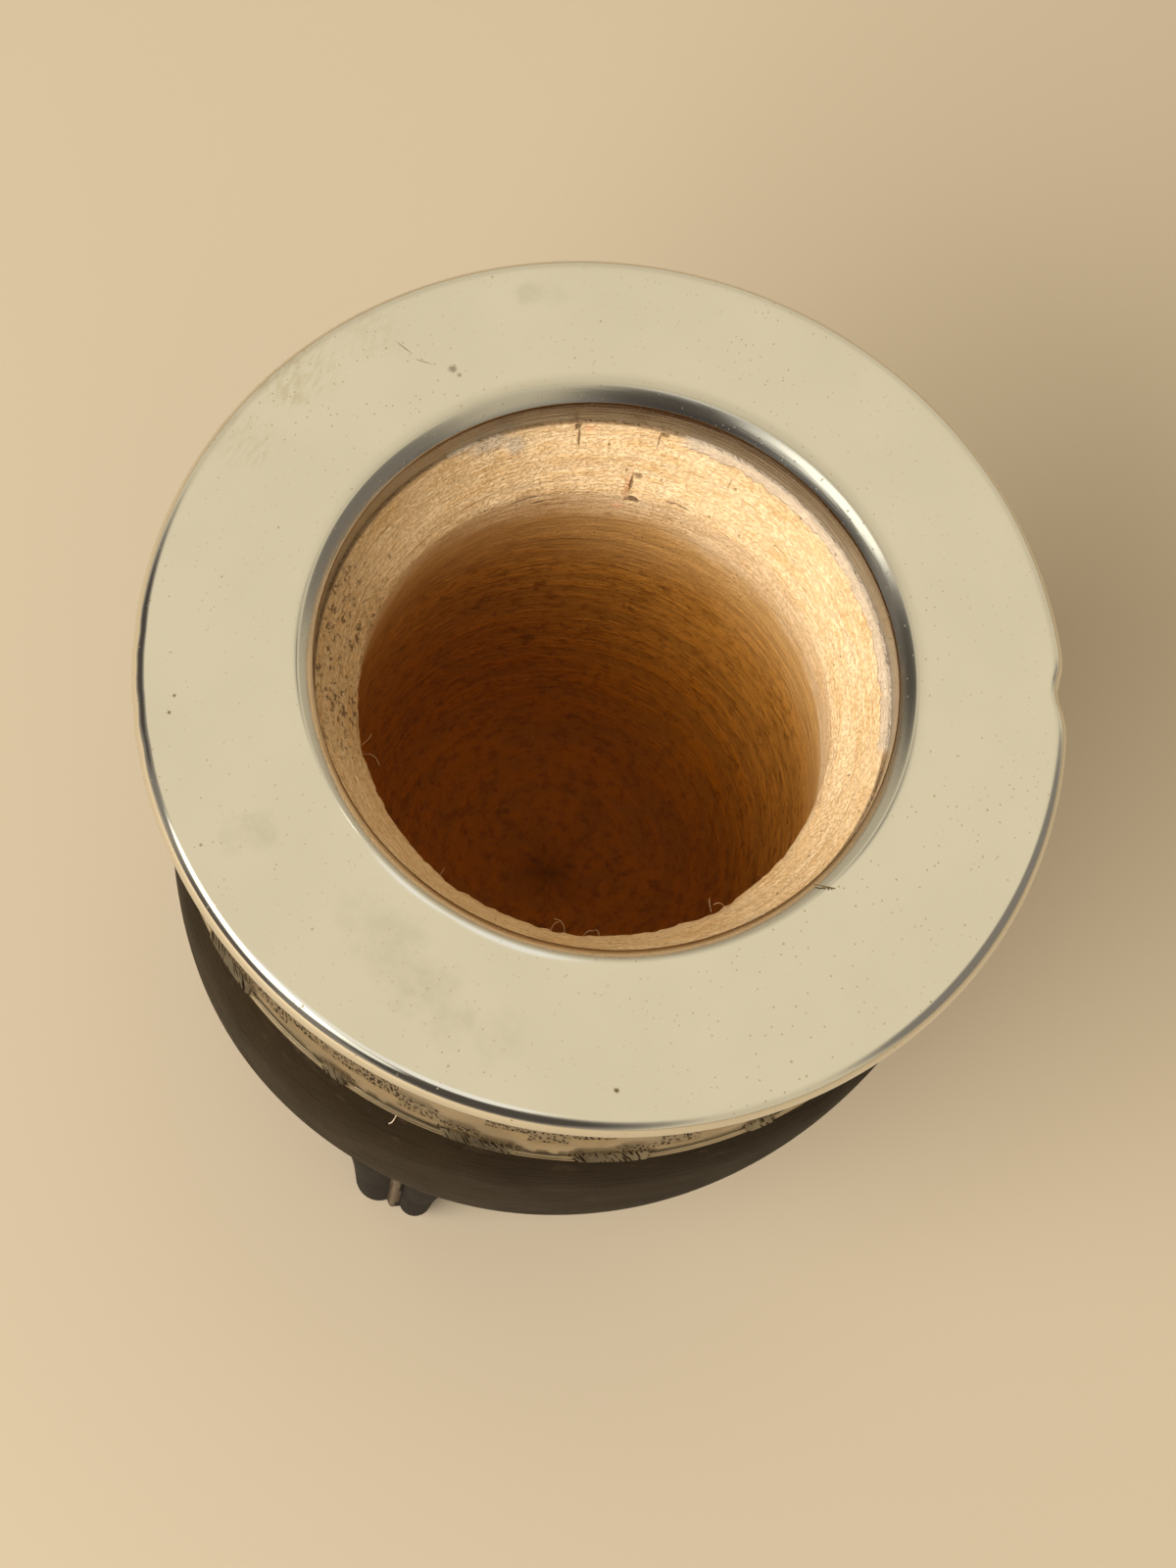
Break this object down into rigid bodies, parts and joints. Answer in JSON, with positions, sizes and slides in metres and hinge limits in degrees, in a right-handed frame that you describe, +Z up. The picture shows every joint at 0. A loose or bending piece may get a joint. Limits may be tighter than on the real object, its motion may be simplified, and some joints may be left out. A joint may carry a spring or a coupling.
{
  "type": "mate gourd cup",
  "caption": "Empty mate drinking cup: a turned pale vessel in a smooth leather cover, with a wide polished rim plate, an engraved metal collar and short pinched leather feet.",
  "frame": {"origin": "on the table, under the middle of the cup", "axes": "+Z up along the turning axis, -Y towards the foot that the picture shows"},
  "size_m": [0.09, 0.09, 0.1094],
  "materials": {
    "turned_wood": "raw, lathe-turned, pale tan with fine rings and crackle, browner inside the bore",
    "leather": "smooth black-brown, softly glossy",
    "collar_metal": "polished nickel silver with a stippled stepped-fret band",
    "rim_metal": "mirror-polished nickel silver with faint smudges and fine scratches"
  },
  "bodies": {
    "root": {"vessel": "turned_wood", "leather_cover": "leather", "leather_foot_front": "leather", "leather_foot_right": "leather", "leather_foot_back": "leather", "leather_foot_left": "leather", "collar": "collar_metal", "rim_flange": "rim_metal"}
  },
  "joints": []
}
